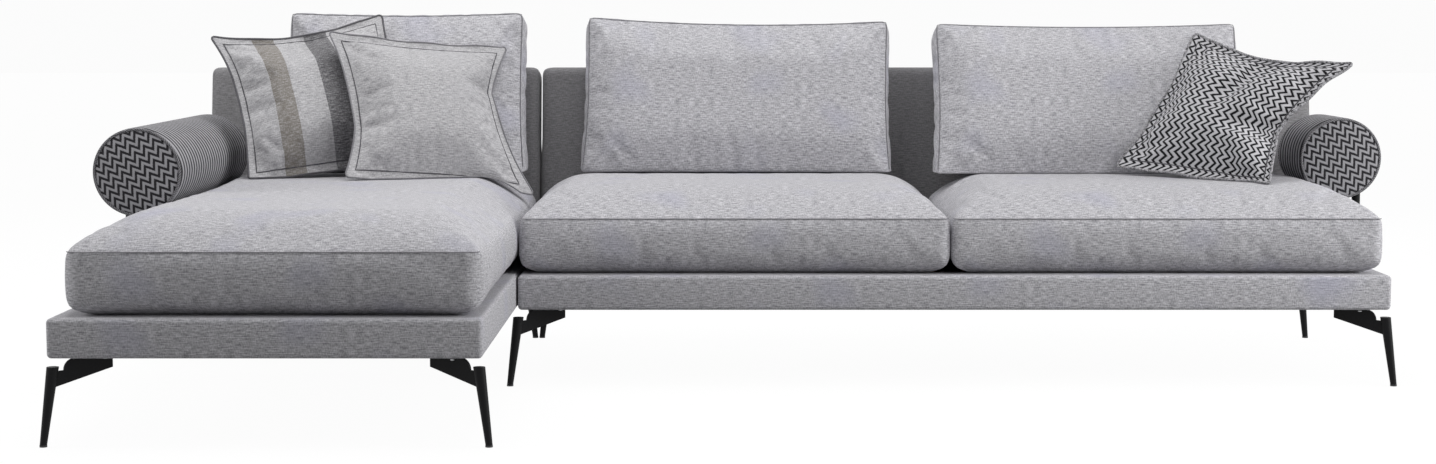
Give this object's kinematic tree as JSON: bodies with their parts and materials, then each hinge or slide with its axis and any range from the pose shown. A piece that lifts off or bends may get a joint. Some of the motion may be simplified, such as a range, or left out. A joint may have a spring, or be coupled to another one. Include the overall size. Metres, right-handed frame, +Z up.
{
  "type": "corner sofa",
  "caption": "Low corner sofa with a left-hand chaise, loose seat, back and scatter cushions, leaning back panels, round arm rolls on posts and splayed black steel legs.",
  "frame": {"origin": "on the floor under the middle of the whole sofa's outer box", "axes": "+X to the right of someone facing the sofa, from the chaise to the sofa's far end, +Y towards the backs, +Z up"},
  "size_m": [3.0029, 1.6362, 0.8482],
  "materials": {
    "grey_upholstery": "melange grey woven upholstery cloth",
    "herringbone_cloth": "black and light grey herringbone weave",
    "striped_cushion_cloth": "pale grey cloth with two darker woven stripes",
    "plain_cushion_cloth": "plain light grey cloth",
    "black_lining": "black non-woven lining",
    "webbing": "elastic woven webbing",
    "foam": "polyurethane foam",
    "fibre_fill": "polyester fibre fill",
    "pine": "planed pine",
    "black_steel": "black powder coat, fine satin texture",
    "glide_plastic": "black moulded plastic",
    "zinc_steel": "zinc-plated steel"
  },
  "bodies": {
    "frame": {"back_bolts": "zinc_steel", "base_screws": "zinc_steel", "chaise_back_bearer": "pine", "chaise_back_cover": "grey_upholstery", "chaise_back_foam": "foam", "chaise_back_frame": "pine", "chaise_base_cover": "grey_upholstery", "chaise_cross_rails": "pine", "chaise_end_rails": "pine", "chaise_lining": "black_lining", "chaise_side_rails": "pine", "chaise_webbing": "webbing", "corner_blocks": "pine", "glides": "glide_plastic", "joining_plates": "black_steel", "left_roll_core": "foam", "left_roll_cover": "herringbone_cloth", "left_roll_posts": "black_steel", "right_roll_core": "foam", "right_roll_cover": "herringbone_cloth", "right_roll_posts": "black_steel", "sofa_back_bearer": "pine", "sofa_back_cover": "grey_upholstery", "sofa_back_foam": "foam", "sofa_back_frame": "pine", "sofa_base_cover": "grey_upholstery", "sofa_cross_rails": "pine", "sofa_end_rails": "pine", "sofa_lining": "black_lining", "sofa_side_rails": "pine", "sofa_webbing": "webbing", "leg_chaise_front_left": "black_steel", "leg_chaise_front_right": "black_steel", "leg_chaise_rear_left": "black_steel", "leg_chaise_rear_right": "black_steel", "leg_sofa_front_left": "black_steel", "leg_sofa_front_right": "black_steel", "leg_sofa_rear_left": "black_steel", "leg_sofa_rear_right": "black_steel"},
    "chaise_seat": {"chaise_seat_cover": "grey_upholstery", "chaise_seat_core": "foam"},
    "left_seat": {"left_seat_cover": "grey_upholstery", "left_seat_core": "foam"},
    "right_seat": {"right_seat_cover": "grey_upholstery", "right_seat_core": "foam"},
    "chaise_back_cushion": {"chaise_back_cushion_cover": "grey_upholstery", "chaise_back_cushion_fill": "fibre_fill"},
    "left_back_cushion": {"left_back_cushion_cover": "grey_upholstery", "left_back_cushion_fill": "fibre_fill"},
    "right_back_cushion": {"right_back_cushion_cover": "grey_upholstery", "right_back_cushion_fill": "fibre_fill"},
    "striped_cushion": {"striped_cushion_cover": "striped_cushion_cloth", "striped_cushion_fill": "fibre_fill"},
    "plain_cushion": {"plain_cushion_cover": "plain_cushion_cloth", "plain_cushion_fill": "fibre_fill"},
    "herringbone_cushion": {"herringbone_cushion_cover": "herringbone_cloth", "herringbone_cushion_fill": "fibre_fill"}
  },
  "joints": [
    {"name": "chaise_seat_pull", "type": "slide", "parent": "frame", "child": "chaise_seat", "axis": [0, -1, 0], "range_m": [0, 0.6]},
    {"name": "left_seat_pull", "type": "slide", "parent": "frame", "child": "left_seat", "axis": [0, -1, 0], "range_m": [0, 0.45]},
    {"name": "right_seat_pull", "type": "slide", "parent": "frame", "child": "right_seat", "axis": [0, -1, 0], "range_m": [0, 0.45]},
    {"name": "chaise_back_lift", "type": "slide", "parent": "chaise_seat", "child": "chaise_back_cushion", "axis": [0, 0, 1], "range_m": [0, 0.3]},
    {"name": "left_back_lift", "type": "slide", "parent": "left_seat", "child": "left_back_cushion", "axis": [0, 0, 1], "range_m": [0, 0.3]},
    {"name": "right_back_lift", "type": "slide", "parent": "right_seat", "child": "right_back_cushion", "axis": [0, 0, 1], "range_m": [0, 0.3]},
    {"name": "striped_lift", "type": "slide", "parent": "chaise_back_cushion", "child": "striped_cushion", "axis": [0, 0, 1], "range_m": [0, 0.25]},
    {"name": "plain_lift", "type": "slide", "parent": "striped_cushion", "child": "plain_cushion", "axis": [0, 0, 1], "range_m": [0, 0.25]},
    {"name": "herringbone_lift", "type": "slide", "parent": "right_back_cushion", "child": "herringbone_cushion", "axis": [0, 0, 1], "range_m": [0, 0.25]}
  ]
}
